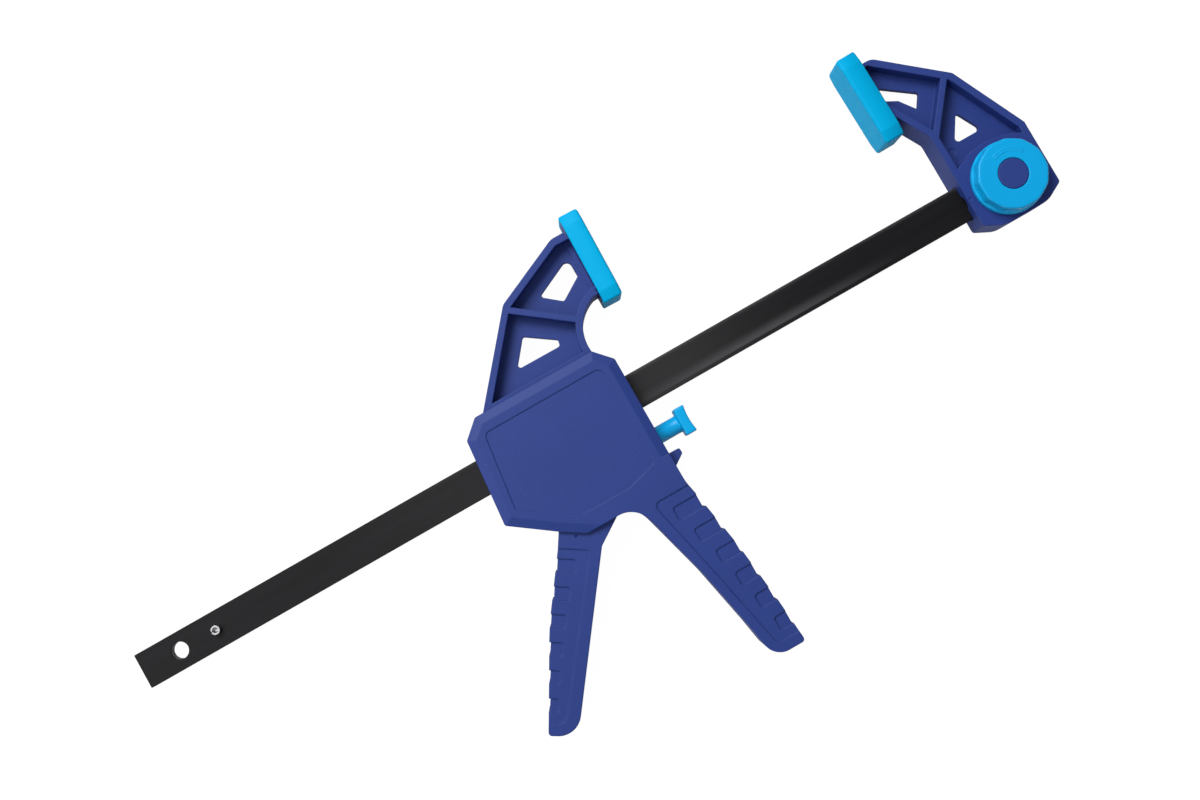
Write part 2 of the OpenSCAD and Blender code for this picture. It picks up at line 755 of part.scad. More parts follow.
module sliding_jaw() {
  color(jaw_blue)
    difference() {
      union() {
        sliding_jaw_body();
        at_pad(1) pad_head();
      }
      sunk_wall(1, sliding_sunk_low, sliding_sunk_high);
    }
}
module sliding_jaw_body() {
  on_carriage()
    difference() {
      union() {
        plate(sliding_outline, jaw_t);
        // beam above the bar and three guides beside it, clear of the case's inner wall
        intersection() {
          plate(rounded(inset(case_corners, wall + gap)), 2 * inner_half);
          union() {
            block([guide_x, beam_low, -case_t], [right_guide[1], above(case_above), case_t]);
            for (x = [[guide_x, guide_x + guide_t], mid_guide, right_guide])
              block([x[0], below(guide_drop), -case_t], [x[1], beam_low + eps, case_t]);
          }
        }
      }
      sliding_pocket();
      mirror([0, 0, 1]) sliding_pocket();
      plate(rounded(slide_lower_window), 2 * jaw_t);
      plate(rounded(slide_upper_window), 2 * jaw_t);
      block([-80, -bar_w / 2 - slip, -bar_t / 2 - slip], [80, bar_w / 2 + slip, bar_t / 2 + slip]);
      // holes for the two case bosses and the round seat of the brake plate
      for (i = [0, 1])
        translate([case_screw_spots[i].x, case_screw_spots[i].y, 0])
          rod(boss_r + gap, -case_t, case_t);
      translate([brake_top.x, brake_top.y, 0]) rod(brake_t / 2 + pin_gap, -case_t, case_t);
    }
}

// ---- trigger, its pivot and the drive plates it pushes ----
// The lever has its own frame: u runs down its outer edge and v into the lever.
edge_top = [-26.5, pivot.y - 8.5];
edge_angle = 180 + trigger_angle;
function lever(u, v, r) =
  let (e = [cos(edge_angle), sin(edge_angle)])
  [edge_top.x + u * e.x - v * e.y, edge_top.y + u * e.y + v * e.x, r];
bulge_u = [9, 0.46 * trigger_len, trigger_len];
trigger_corners = [
  [nose.x + nose_r, nose.y + nose_r, nose_r - 0.1], [nose.x - nose_r, nose.y + nose_r, nose_r - 0.1],
  [nose.x - nose_r, pivot.y + 8, 3], lever(-14, 0, 4), lever(bulge_u[0], 0, 20),
  lever(bulge_u[1], -trigger_bulge, 150), lever(trigger_len, 0, 2),
  lever(trigger_len - 0.4, tip_w, 0.75 * tip_w), lever(5.9, shank_w, 3),
  [pivot.x + 17, pivot.y - 14.7, 3], [pivot.x + 15, pivot.y + 4, 3],
  [nose.x + nose_r, pivot.y + 10, 3]
];
dimple_r = 0.7;
trigger_groove_len = groove_len - 0.7;
trigger_pitch = (trigger_len - 18.7) / 6;
first_groove = 13.9;
// The trigger's grooves grow shorter towards its tip.
last_reach = 4.1;
extra_reach = 6.2;
// Bulge of the trigger's outer edge over the straight line, along that line.
function edge_bulge(u) = lookup(u, [[bulge_u[0], 0], [bulge_u[1], trigger_bulge], [bulge_u[2], 0]]);
module trigger_face_cuts() {
  top = trigger_t / 2;
  // panel, then the grooves, both in the frame of the outer edge: u runs down it, v into the lever
  translate([edge_top.x, edge_top.y, top])
    rotate([0, 0, edge_angle]) {
      slab(
        rounded([
          [8.4, -5, 0], [trigger_len - 6.5, -5, 0], [trigger_len - 6.5, tip_w - 7, 5],
          [8.4, shank_w - 6.3, 2]
        ]),
        -panel_depth, 1
      );
      for (i = [0 : trigger_grooves - 1]) {
        u = first_groove + i * trigger_pitch;
        reach = last_reach + extra_reach * pow(0.6, i);
        slab(
          rounded([
            [u, -5, 0], [u + trigger_groove_len, -5, 0],
            [u + trigger_groove_len, reach, 1.5], [u, reach, 1.5]
          ]),
          -panel_depth - groove_depth, 1
        );
      }
    }
}
module trigger_edge_bites() {
  translate([edge_top.x, edge_top.y, 0])
    rotate([0, 0, edge_angle])
      for (i = [0 : trigger_grooves - 1]) {
        u = first_groove + i * trigger_pitch;
        translate([u, groove_depth - edge_bulge(u + trigger_groove_len / 2) - 5, -trigger_t])
          cube([trigger_groove_len, 5, 2 * trigger_t]);
      }
}
module trigger() {
  color(jaw_blue)
    on_carriage()
      difference() {
        plate(rounded(trigger_corners), trigger_t);
        trigger_face_cuts();
        mirror([0, 0, 1]) trigger_face_cuts();
        trigger_edge_bites();
        translate([pivot.x, pivot.y, 0]) rod(pivot_r + pin_gap, -trigger_t, trigger_t);
        translate([-19, case_low + 1.5, 0]) rod(dimple_r, trigger_t / 2 - 0.8, trigger_t);
      }
}
module trigger_pivot() {
  color([0.7, 0.7, 0.72])
    on_carriage()
      translate([pivot.x, pivot.y, 0]) rod(pivot_r, -cavity - wall / 2 + slip, cavity + wall / 2 - slip);
}
module drive_plates() {
  color([0.5, 0.5, 0.52])
    on_carriage()
      for (i = [0 : plate_n - 1])
        translate([plates_left + i * (plate_t + slip), 0, 0])
          difference() {
            block([0, nose.y - 2, -plate_w / 2], [plate_t, beam_low - 0.7, plate_w / 2]);
            block(
              [-1, -bar_w / 2 - gap, -bar_t / 2 - gap], [plate_t + 1, bar_w / 2 + gap, bar_t / 2 + gap]
            );
          }
}
drive_wire = 1.3;
module drive_spring() {
  color([0.8, 0.8, 0.82])
    on_carriage()
      translate([guide_x + guide_t, 0, 0])
        rotate([0, 90, 0])
          coil(
            norm([bar_w, bar_t]) / 2 + drive_wire / 2 + slip, drive_wire,
            plates_left - guide_x - guide_t, 5
          );
}

// ---- brake plate, its spring and the release button ----
brake_bite = brake_t / 2 * sin(brake_tilt) + slip;
brake_high = bar_w / 2 + brake_bite;
brake_low = bar_w / 2 + brake_bite + (brake_top.y + bar_w / 2) * (1 - cos(brake_tilt));
module brake_plate() {
  color([0.5, 0.5, 0.52])
    on_carriage()
      translate([brake_top.x, brake_top.y, 0])
        rotate([0, 0, brake_tilt])
          difference() {
            union() {
              rod(brake_t / 2, -plate_w / 2, plate_w / 2);
              block([-brake_t / 2, -brake_top.y - brake_foot, -plate_w / 2], [brake_t / 2, 0, plate_w / 2]);
            }
            // window for the bar, which it grips only while it is tilted
            block(
              [-brake_t, -brake_top.y - brake_low, -bar_t / 2 - gap],
              [brake_t, -brake_top.y + brake_high, bar_t / 2 + gap]
            );
          }
}
brake_wire = 1;
module brake_spring() {
  left = seat_x[1];
  right = brake_face - brake_t / cos(brake_tilt) - 0.6;
  color([0.8, 0.8, 0.82])
    on_carriage()
      translate([left, button_y, 0]) rotate([0, 90, 0]) coil(3.5, brake_wire, right - left, 6);
}
tip_r = 3;
collar_t = 1.1;
module release_button() {
  tip = brake_face + slip;
  head_x0 = case_right + shaft_out;
  color([0.0, 0.6, 0.87])
    on_carriage()
      translate([0, button_y, 0]) {
        rotate([0, 90, 0]) {
          rod(shaft_r, case_right - wall - gap, head_x0 + 1);
          rod(shaft_r + 1.1, case_right - wall - gap - collar_t, case_right - wall - slip);
        }
        translate([tip + tip_r, 0, 0]) sphere(r = tip_r);
        difference() {
          block([head_x0, -head_h / 2, -head_w / 2], [head_x0 + head_t, head_h / 2, head_w / 2]);
          // hollow for the fingertip
          translate([head_x0 + head_t + 34, 0, -head_w]) cylinder(r = 35, h = 2 * head_w, $fn = 180);
        }
      }
}

bar();
stop_pin();
fixed_jaw();
fixed_jaw_pad();
lock_pin();
lock_cross_pin();
lock_spring();
lock_washer();
lock_knob();
knob_cap();
front_case();
back_case();
case_screws();
sliding_jaw();
sliding_jaw_pad();
trigger();
trigger_pivot();
drive_plates();
drive_spring();
brake_plate();
brake_spring();
release_button();
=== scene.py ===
import json
import math

import bmesh
import bpy
import numpy as np
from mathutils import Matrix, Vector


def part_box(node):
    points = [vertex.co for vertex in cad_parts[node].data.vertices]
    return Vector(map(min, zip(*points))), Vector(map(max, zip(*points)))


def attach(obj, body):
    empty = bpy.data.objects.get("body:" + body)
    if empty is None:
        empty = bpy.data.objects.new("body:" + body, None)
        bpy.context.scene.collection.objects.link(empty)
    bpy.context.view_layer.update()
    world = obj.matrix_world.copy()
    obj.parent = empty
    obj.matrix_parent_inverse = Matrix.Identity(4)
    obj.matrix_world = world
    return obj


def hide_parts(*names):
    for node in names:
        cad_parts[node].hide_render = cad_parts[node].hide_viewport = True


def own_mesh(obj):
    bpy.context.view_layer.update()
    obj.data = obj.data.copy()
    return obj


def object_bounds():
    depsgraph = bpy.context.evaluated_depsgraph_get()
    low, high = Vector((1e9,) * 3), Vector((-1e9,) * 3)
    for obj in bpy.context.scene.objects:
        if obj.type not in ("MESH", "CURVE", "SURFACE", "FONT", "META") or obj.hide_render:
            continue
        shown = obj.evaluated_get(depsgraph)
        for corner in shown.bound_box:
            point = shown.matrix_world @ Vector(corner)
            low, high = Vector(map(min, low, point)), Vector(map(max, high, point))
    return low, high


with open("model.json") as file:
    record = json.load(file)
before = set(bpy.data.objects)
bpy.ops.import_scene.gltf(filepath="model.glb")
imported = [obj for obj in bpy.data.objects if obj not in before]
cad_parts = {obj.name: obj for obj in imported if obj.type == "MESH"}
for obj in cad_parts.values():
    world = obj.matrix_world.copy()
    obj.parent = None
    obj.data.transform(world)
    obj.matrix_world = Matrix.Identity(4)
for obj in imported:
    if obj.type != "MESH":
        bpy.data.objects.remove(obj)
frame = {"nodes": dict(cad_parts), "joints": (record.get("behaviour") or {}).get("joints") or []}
cad_box = [list(corner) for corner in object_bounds()]
mm = 0.001

# ---------------------------------------------------------------------------------------------
# Camera and stage. The clamp lies on its back on a pale table, seen from above and a little
# from the button's side, under large soft lamps.
camera_place = np.array([233.31, -34.29, 781.73]) * mm
camera_turn = [math.radians(a) for a in (3.676, -0.578, -29.771)]
focal_pixels = 1420.2
picture_width = 1200

camera = bpy.data.objects.new("camera", bpy.data.cameras.new("camera"))
camera.data.sensor_width = 36
camera.data.lens = focal_pixels / picture_width * camera.data.sensor_width
camera.data.clip_start = 0.01
camera.data.clip_end = 20
camera.location = camera_place
camera.rotation_euler = camera_turn
bpy.context.scene.collection.objects.link(camera)
bpy.context.scene.camera = camera
bpy.context.scene.view_settings.view_transform = "Standard"


class Shade:
    """A socket in a material. Sums, products and differences add Math nodes.

    The method make adds any other node.
    """

    def __init__(self, tree, socket=None):
        self.tree = tree
        self.socket = socket

    def make(self, kind, settings=(), sockets=(), output=0):
        """Adds a node: first its settings, then each socket's value or link, by name or number."""
        node = self.tree.nodes.new("ShaderNode" + kind)
        for name, value in dict(settings).items():
            setattr(node, name, value)
        for name, value in dict(sockets).items():
            if isinstance(value, Shade):
                self.tree.links.new(value.socket, node.inputs[name])
            else:
                node.inputs[name].default_value = value
        return Shade(self.tree, node.outputs[output])

    def maths(self, operation, *values):
        """A Math node on this socket and the values."""
        return self.make("Math", {"operation": operation}, enumerate((self,) + values))

    def __add__(self, other):
        return self.maths("ADD", other)

    def __sub__(self, other):
        return self.maths("SUBTRACT", other)

    def __rsub__(self, other):
        return self.maths("MULTIPLY", -1).maths("ADD", other)

    def __mul__(self, other):
        return self.maths("MULTIPLY", other)

    __radd__ = __add__
    __rmul__ = __mul__

    def band(self, low, high):
        """0 below low, 1 above high, and a smooth step between."""
        limits = {"Value": self, "From Min": low, "From Max": high}
        return self.make("MapRange", {"interpolation_type": "SMOOTHSTEP"}, limits)

    def mix(self, low, high):
        """The colour low where this is 0 and high where it is 1."""
        return self.make("Mix", {"data_type": "RGBA"}, {0: self, 6: low, 7: high}, 2)

    def place(self):
        """The place on the object, in metres."""
        return self.make("TexCoord", output=3)

    def noise(self, scale, detail=3, stretch=(1, 1, 1)):
        """Noise of that many cells to the metre, stretched along the axes."""
        stretched = self.make("Mapping", {}, {"Vector": self.place(), "Scale": stretch})
        return self.make("TexNoise", {}, {"Vector": stretched, "Scale": scale, "Detail": detail})

    def edges(self, radius):
        """0 on flat stretches and towards 1 where the surface turns within that radius."""
        rounded = self.make("Bevel", {"samples": 4}, {"Radius": radius})
        plain = self.make("NewGeometry", output=1)
        alike = self.make("VectorMath", {"operation": "DOT_PRODUCT"}, {0: rounded, 1: plain}, 1)
        return (1 - alike).band(0.01, 0.25)


def finish_material(name, fixed, varying, bump, soft_edge=0):
    """A Principled material with plain values and two functions that give linked ones.

    The function varying gives sockets that change over the surface, and bump gives the height of
    the grain, its depth in metres and its strength. Edges look rounded off to soft_edge.
    """
    material = bpy.data.materials.new(name)
    material.use_nodes = True
    tree = material.node_tree
    surface = tree.nodes["Principled BSDF"]
    pen = Shade(tree)
    for socket, value in fixed.items():
        surface.inputs[socket].default_value = value
    for socket, value in varying(pen).items():
        tree.links.new(value.socket, surface.inputs[socket])
    height, distance, strength = bump(pen)
    sockets = {"Height": height, "Distance": distance, "Strength": strength}
    if soft_edge:
        sockets["Normal"] = pen.make("Bevel", {"samples": 6}, {"Radius": soft_edge})
    tree.links.new(pen.make("Bump", {}, sockets).socket, surface.inputs["Normal"])
    return material


def mesh_object(name, points, faces, material):
    """An object at the origin made of these points and faces."""
    mesh = bpy.data.meshes.new(name)
    mesh.from_pydata(points, [], faces)
    mesh.materials.append(material)
    made = bpy.data.objects.new(name, mesh)
    bpy.context.scene.collection.objects.link(made)
    return made


def table_look(pen):
    return {"Base Color": pen.noise(3).mix((0.60, 0.60, 0.60, 1), (0.64, 0.64, 0.64, 1))}


def table_bump(pen):
    return pen.noise(900, 2), 0.02 * mm, 0.1


table_top = finish_material(
    "table white", {"Roughness": 0.9, "Specular IOR Level": 0.1}, table_look, table_bump
)
# Seen straight from the camera the table glows, so that it reads as white even in the object's
# shadow. In a reflection it glows less.
glow = 1.09
glow_share = 0.9
mirror_share = 0.35
tree = table_top.node_tree
pen = Shade(tree)
mirrored = pen.make("LightPath", output=3) * mirror_share
seen = pen.make("LightPath", output=0).maths("MAXIMUM", mirrored)
white = pen.make("Emission", {}, {"Strength": glow})
lit = Shade(tree, tree.nodes["Principled BSDF"].outputs[0])
blended = pen.make("MixShader", {}, {0: seen * glow_share, 1: lit, 2: white})
tree.links.new(blended.socket, tree.nodes["Material Output"].inputs[0])

table_half = 6
table_z = cad_box[0][2] - 0.5 * mm
table_signs = [(-1, -1), (1, -1), (1, 1), (-1, 1)]
table_corners = [(x * table_half, y * table_half, table_z) for x, y in table_signs]
table = mesh_object("table", table_corners, [(0, 1, 2, 3)], table_top)

clamp_middle = np.array((0.26, -0.02, 0))


def lamp(name, place, size, watts):
    """A square area lamp at place, turned to shine at the clamp's middle."""
    light = bpy.data.lights.new(name, "AREA")
    light.size = size
    light.energy = watts
    holder = bpy.data.objects.new(name, light)
    holder.location = place
    way = clamp_middle - np.array(place)
    tilt = math.atan2(math.hypot(way[0], way[1]), -way[2])
    holder.rotation_euler = (tilt, 0, math.atan2(way[1], way[0]) - math.pi / 2)
    bpy.context.scene.collection.objects.link(holder)


lamp("key lamp", (0.0, 0.95, 1.25), 0.8, 23)
lamp("fill lamp", (-0.8, 0.1, 1.2), 1.2, 6.5)
lamp("front lamp", (0.3, -1.2, 1.2), 1.4, 1)

world = bpy.data.worlds.new("room")
world.use_nodes = True
room_light = 0.3
background = world.node_tree.nodes["Background"]
background.inputs[0].default_value = (1, 1, 1, 1)
# Behind the table the room is as white as the table.
in_view = Shade(world.node_tree).make("LightPath", output=0)
world.node_tree.links.new((in_view * (1 - room_light) + room_light).socket, background.inputs[1])
bpy.context.scene.world = world


# ---------------------------------------------------------------------------------------------
# Bar: flat steel strip, rolled, cut to length and blackened, with two large holes and a small
# one for the stop pin. Its colour is painted paler in places: a painted sheen, a painted
# reflection and a painted highlight.
merge_gap = 0.002 * mm
flat_angle = math.radians(0.6)
crease_angle = math.radians(12)


def finished(node, body, material):
    """A copy of a CAD node, merged and shaded smooth across all edges but its creases."""
    shape = bmesh.new()
    shape.from_mesh(frame["nodes"][node].data)
    bmesh.ops.remove_doubles(shape, verts=shape.verts, dist=merge_gap)
    bmesh.ops.dissolve_limit(shape, angle_limit=flat_angle, verts=shape.verts, edges=shape.edges)
    for face in shape.faces:
        face.smooth = True
    for edge in shape.edges:
        edge.smooth = edge.calc_face_angle(0) < crease_angle
    mesh = bpy.data.meshes.new(node + "_finished")
    shape.to_mesh(mesh)
    shape.free()
    mesh.materials.append(material)
    piece = bpy.data.objects.new(node + "_finished", mesh)
    bpy.context.scene.collection.objects.link(piece)
    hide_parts(node)
    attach(piece, body)
    return piece


def blackened_look(pen):
    """Streaked black, made paler by a painted sheen along the bar's middle, and most of all towards
    -Y by a painted reflection.

    From there on a painted highlight runs along the edge on +Y. A narrow strip along the edge on -Y
    stays black.
    """
    streaks = pen.noise(260, 4, (0.06, 1, 1))
    along = pen.make("SeparateXYZ", {}, {0: pen.place()})
    across = pen.make("SeparateXYZ", {}, {0: pen.place()}, 1) * -1
    # Painted sheen: a paler band along the bar's middle.
    painted_sheen = along.band(0.05, 0.3) * (1 - along.band(0.29, 0.41))
    off_strip = 1 - across.band(7.4 * mm, 8.4 * mm)
    # Painted reflection: paler still towards -Y in the middle, but not on the strip along that
    # edge.
    painted_reflection = along.band(0.24, 0.37) * (1 - along.band(0.37, 0.46)) * off_strip
    painted_reflection = painted_reflection * across.band(1.5 * mm, 8.2 * mm)
    patches = pen.noise(90, 3, (0.2, 1, 1)).band(0.2, 0.6)
    # Painted highlight along the edges, in patches, from the middle on.
    painted_edge_highlight = pen.edges(4 * mm) * patches * along.band(0.12, 0.3) * off_strip
    black = streaks.mix((0.003, 0.003, 0.0035, 1), (0.009, 0.009, 0.011, 1))
    with_painted_sheen = (painted_sheen * 0.5).mix(black, (0.04, 0.039, 0.041, 1))
    with_painted_reflection = (painted_reflection * 0.38).mix(with_painted_sheen, (0.14, 0.138, 0.145, 1))
    return {
        "Base Color": (painted_edge_highlight * 0.3).mix(with_painted_reflection, (0.24, 0.24, 0.25, 1)),
        "Roughness": 0.3 + pen.noise(18) * 0.12 + streaks * 0.1,
    }


def rolled_bump(pen):
    return pen.noise(420, 4, (0.08, 1, 1)), 0.04 * mm, 0.25


black_sheen = {"Specular IOR Level": 0.17}
blackened = finish_material("blackened steel", black_sheen, blackened_look, rolled_bump, 0.8 * mm)
finished("bar", "frame", blackened)


# ---------------------------------------------------------------------------------------------
# Bright steel pieces: the slotted stop pin in the bar, the lock pin with its cross pin and
# washer, and the trigger's pivot. All are rolled, turned or cut from rod and left bright.
def dress(node, material):
    """A CAD node in its finish."""
    piece = frame["nodes"][node]
    piece.data.materials.clear()
    piece.data.materials.append(material)


def bright_look(pen):
    turned = pen.noise(700, 2, (1, 1, 0.1))
    return {
        "Base Color": turned.mix((0.42, 0.42, 0.44, 1), (0.56, 0.56, 0.58, 1)),
        "Roughness": 0.25 + pen.noise(150) * 0.2,
    }


def turned_bump(pen):
    return pen.noise(900, 2, (1, 1, 0.1)), 0.02 * mm, 0.2


metal = {"Metallic": 1.0}
bright_steel = finish_material("bright steel", metal, bright_look, turned_bump, 0.15 * mm)
finished("stop_pin", "frame", bright_steel)
for node in ("lock_pin", "lock_cross_pin", "lock_washer", "trigger_pivot"):
    dress(node, bright_steel)


# ---------------------------------------------------------------------------------------------
# Body mouldings: fixed jaw, sliding jaw, both case halves with the handle, and the trigger. Deep
# blue glass-filled nylon with a fine spark-eroded grain, moulded in steel tools.
def nylon_look(pen):
    cloud = pen.noise(22, 3)
    speck = pen.noise(1500, 2)
    wear = pen.edges(0.5 * mm) * pen.noise(120, 3).band(0.35, 0.7)
    deep = cloud.mix((0.0125, 0.034, 0.19, 1), (0.018, 0.043, 0.228, 1))
    speckled = (speck.band(0.55, 0.75) * 0.25).mix(deep, (0.055, 0.08, 0.31, 1))
    return {
        "Base Color": (wear * 0.35).mix(speckled, (0.1, 0.125, 0.37, 1)),
        "Roughness": 0.46 + speck * 0.14 + cloud * 0.06,
    }


def spark_bump(pen):
    return pen.noise(2200, 3) + pen.noise(700, 2) * 0.6, 0.05 * mm, 0.35


satin = {"Specular IOR Level": 0.3}
mould_edge = 0.9 * mm
nylon = finish_material("deep blue nylon", satin, nylon_look, spark_bump, mould_edge)
finished("fixed_jaw", "frame", nylon)
for node in ("sliding_jaw", "front_case", "back_case"):
    finished(node, "carriage", nylon)
# The trigger's edges are rounded further, to suit the fingers.
finger_edge = 1.2 * mm
finger_nylon = finish_material("finger-rounded nylon", satin, nylon_look, spark_bump, finger_edge)
finished("trigger", "trigger", finger_nylon)


# ---------------------------------------------------------------------------------------------
# Jaw pads: soft light blue caps, moulded and pushed over the jaws' heads.
def soft_look(pen):
    cloud = pen.noise(35, 3)
    wear = pen.edges(0.7 * mm)
    sky = cloud.mix((0.0, 0.35, 0.65, 1), (0.0, 0.385, 0.70, 1))
    return {
        "Base Color": (wear * 0.2).mix(sky, (0.005, 0.5, 0.88, 1)),
        "Roughness": 0.38 + pen.noise(600) * 0.14 + cloud * 0.06,
    }


def soft_bump(pen):
    return pen.noise(1400, 2), 0.03 * mm, 0.25


dull = {"Specular IOR Level": 0.06}
pad_rubber = finish_material("light blue rubber", dull, soft_look, soft_bump)


def surface(name, grid, material, wrap_rows):
    """A closed smooth mesh through a grid of points (rows, columns, 3).

    Neighbouring points are joined by quads and the last column to the first. The rows wrap in the
    same way, or else one face closes each end. The signed volume tells which way the faces point.
    """
    rows, columns = grid.shape[:2]
    index = np.arange(rows * columns).reshape(rows, columns)
    index = np.hstack([index, index[:, :1]])
    if wrap_rows:
        index = np.vstack([index, index[:1]])
    quads = [index[:-1, :-1], index[:-1, 1:], index[1:, 1:], index[1:, :-1]]
    quads = np.stack(quads, axis=-1).reshape(-1, 4)
    points = grid.reshape(-1, 3)
    a, b, c, d = (points[quads[:, i]] - points.mean(axis=0) for i in range(4))
    volume = np.einsum("ij,ij->", a, np.cross(b, c)) + np.einsum("ij,ij->", a, np.cross(c, d))
    ends = [] if wrap_rows else [index[0, :-1][::-1].tolist(), index[-1, :-1].tolist()]
    faces = quads.tolist() + ends
    if volume < 0:
        faces = [face[::-1] for face in faces]
    piece = mesh_object(name, points.tolist(), faces, material)
    piece.data.polygons.foreach_set("use_smooth", [len(face) == 4 for face in faces])
    return piece


def soft_outline(corners, steps=6):
    """Corners (x, y, reach), each replaced by a parabola between two points its reach away."""
    corners = np.array(corners, float)
    here = corners[:, :2]
    reach = corners[:, 2:]
    before = np.roll(here, 1, axis=0) - here
    after = np.roll(here, -1, axis=0) - here
    start = here + before / np.linalg.norm(before, axis=1, keepdims=True) * reach
    stop = here + after / np.linalg.norm(after, axis=1, keepdims=True) * reach
    t = np.linspace(0, 1, steps)[None, :, None]
    arcs = (1 - t) ** 2 * start[:, None] + 2 * t * (1 - t) * here[:, None] + t**2 * stop[:, None]
    return arcs.reshape(-1, 2)


pad_t = 11.5 * mm
pad_wall = 2.4 * mm
pad_h = 53.5 * mm
pad_w = 30 * mm
pad_band = 6.5 * mm
pad_drop = 2 * mm
pad_edge = 1.7 * mm
toe_in = math.radians(1.3)
end_w = pad_w / 2 - pad_drop
band_h = pad_h / 2 - pad_band
end_reach = 1.3 * mm
band_reach = 0.6 * mm
# The corners seen along the clamping direction: the long sides slope inwards at both ends.
pad_corners = [
    (-pad_h / 2, -end_w, end_reach),
    (-band_h, -pad_w / 2, band_reach),
    (band_h, -pad_w / 2, band_reach),
    (pad_h / 2, -end_w, end_reach),
    (pad_h / 2, end_w, end_reach),
    (band_h, pad_w / 2, band_reach),
    (-band_h, pad_w / 2, band_reach),
    (-pad_h / 2, end_w, end_reach),
]


def drawn_in(corners, inset):
    """The corners with each side moved inwards by inset, so that neighbouring sides meet again."""
    corners = np.array(corners, float)
    here = corners[:, :2]
    ahead = np.roll(here, -1, axis=0) - here
    ahead /= np.linalg.norm(ahead, axis=1, keepdims=True)
    behind = np.roll(ahead, 1, axis=0)
    normals = np.stack([-ahead[:, 1] - behind[:, 1], ahead[:, 0] + behind[:, 0]], axis=1)
    moved = here + inset * normals / (1 + np.sum(ahead * behind, axis=1, keepdims=True))
    return np.hstack([moved, corners[:, 2:]])


# Each ring lies some way in from that outline and some way from the pad's back: up the pocket's
# wall, over the back rim, along the side, and a quarter turn onto the clamping face.
quarter = np.linspace(0, math.pi / 2, 7)
turn_in = pad_edge * (1 - np.cos(quarter))
turn_up = pad_t - pad_edge * (1 - np.sin(quarter))
pad_rings = np.vstack(
    [
        [(pad_wall, pad_t - pad_wall), (pad_wall, 0.4 * mm), (pad_wall - 0.3 * mm, 0)],
        [(0.5 * mm, 0), (0, 0.5 * mm)],
        np.stack([turn_in, turn_up], axis=1),
        [(pad_edge + 0.8 * mm, pad_t)],
    ]
)
for node, body, side in (("sliding_jaw_pad", "carriage", 1), ("fixed_jaw_pad", "frame", -1)):
    middle = sum(np.array(corner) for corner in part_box(node)) / 2
    rings = np.stack([soft_outline(drawn_in(pad_corners, inset), 7) for inset in pad_rings[:, 0]])
    depth = pad_rings[:, 1][:, None] - pad_t / 2 + 0 * rings[:, :, 0]
    # The pad's middle is the pivot of its lean towards the other jaw.
    lean_x = depth * math.cos(toe_in) + rings[:, :, 0] * math.sin(toe_in)
    lean_y = rings[:, :, 0] * math.cos(toe_in) - depth * math.sin(toe_in)
    local = np.stack([side * lean_x, lean_y, rings[:, :, 1]], axis=-1)
    pad = surface(node + "_cap", middle + local, pad_rubber, False)
    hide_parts(node)
    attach(pad, body)


# ---------------------------------------------------------------------------------------------
# Lock knob: a light blue moulding over the fixed jaw's post, of harder, glossier plastic than the
# pads. Its foot is a plain ring, its grip above has shallow scallops, and two fine raised arcs on
# top show the way it turns.
def hard_look(pen):
    cloud = pen.noise(35, 3)
    sky = cloud.mix((0.0, 0.34, 0.7, 1), (0.0, 0.37, 0.75, 1))
    return {
        "Base Color": (pen.edges(0.5 * mm) * 0.35).mix(sky, (0.04, 0.6, 0.92, 1)),
        "Roughness": 0.24 + pen.noise(600) * 0.1 + cloud * 0.05,
    }


glossy = {"Specular IOR Level": 0.25}
hard_plastic = finish_material("light blue hard plastic", glossy, hard_look, soft_bump)


def spaced(outline, spacing):
    """The closed outline with points added on its long stretches, spacing apart."""
    loop = np.vstack([outline, outline[:1]])
    run = np.concatenate([[0], np.cumsum(np.linalg.norm(np.diff(loop, axis=0), axis=1))])
    where = np.unique(np.round(np.concatenate([run[:-1], np.arange(0, run[-1], spacing)]), 7))
    return np.stack([np.interp(where, run, loop[:, i]) for i in (0, 1)], axis=1)


def smooth_step(value, low, high):
    """0 below low, 1 above high, and 3 t squared minus 2 t cubed between."""
    t = np.clip((value - low) / (high - low), 0, 1)
    return t * t * (3 - 2 * t)


knob_low, knob_high = (np.array(corner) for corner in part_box("lock_knob"))
knob_centre = (knob_low + knob_high) / 2
knob_r = (knob_high[0] - knob_low[0]) / 2
cap_low, cap_high = (np.array(corner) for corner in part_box("knob_cap"))
cap_r = (cap_high[0] - cap_low[0]) / 2
foot_h = 3.4 * mm
step_in = 0.5 * mm
post_r = 13.05 * mm
track_r = 15.75 * mm
track_low = knob_low[2] + 1.6 * mm
roof = cap_low[2] + 0.15 * mm
top = knob_high[2]
knob_outline = spaced(
    soft_outline(
        [
            (post_r, knob_low[2], 0.1 * mm),
            (knob_r, knob_low[2], 0.8 * mm),
            (knob_r, knob_low[2] + foot_h, 0.5 * mm),
            (knob_r - step_in, knob_low[2] + foot_h + 0.3 * mm, 0.2 * mm),
            (knob_r - 0.8 * mm, top, 1.6 * mm),
            (cap_r + 0.3 * mm, top, 0.5 * mm),
            (cap_r + 0.1 * mm, roof, 0.1 * mm),
            (track_r, roof, 0.2 * mm),
            (track_r, track_low, 0.2 * mm),
            (post_r, track_low, 0.1 * mm),
        ]
    ),
    0.4 * mm,
)
lobes = 12
scallop_depth = 0.8 * mm
turn = np.linspace(0, 2 * math.pi, 288, endpoint=False)[None, :]
radius = knob_outline[:, :1]
height = knob_outline[:, 1:]
# The radius loses depth times the root of cosine squared, so that the ridges between the
# scallops are narrow. Only the outer wall above the foot has them, and they grow shallow towards
# the top.
outer = smooth_step(radius, cap_r + 7 * mm, knob_r - 2.4 * mm)
foot_top = knob_low[2] + foot_h
scalloped = outer * smooth_step(height, foot_top - 0.2 * mm, foot_top + 1.6 * mm)
scalloped = scalloped * (1 - 0.6 * smooth_step(height, top - 4 * mm, top))
ridge_round = 0.03
wave = np.sqrt(np.cos(lobes * turn / 2) ** 2 + ridge_round)
ring = radius - scallop_depth * scalloped * wave
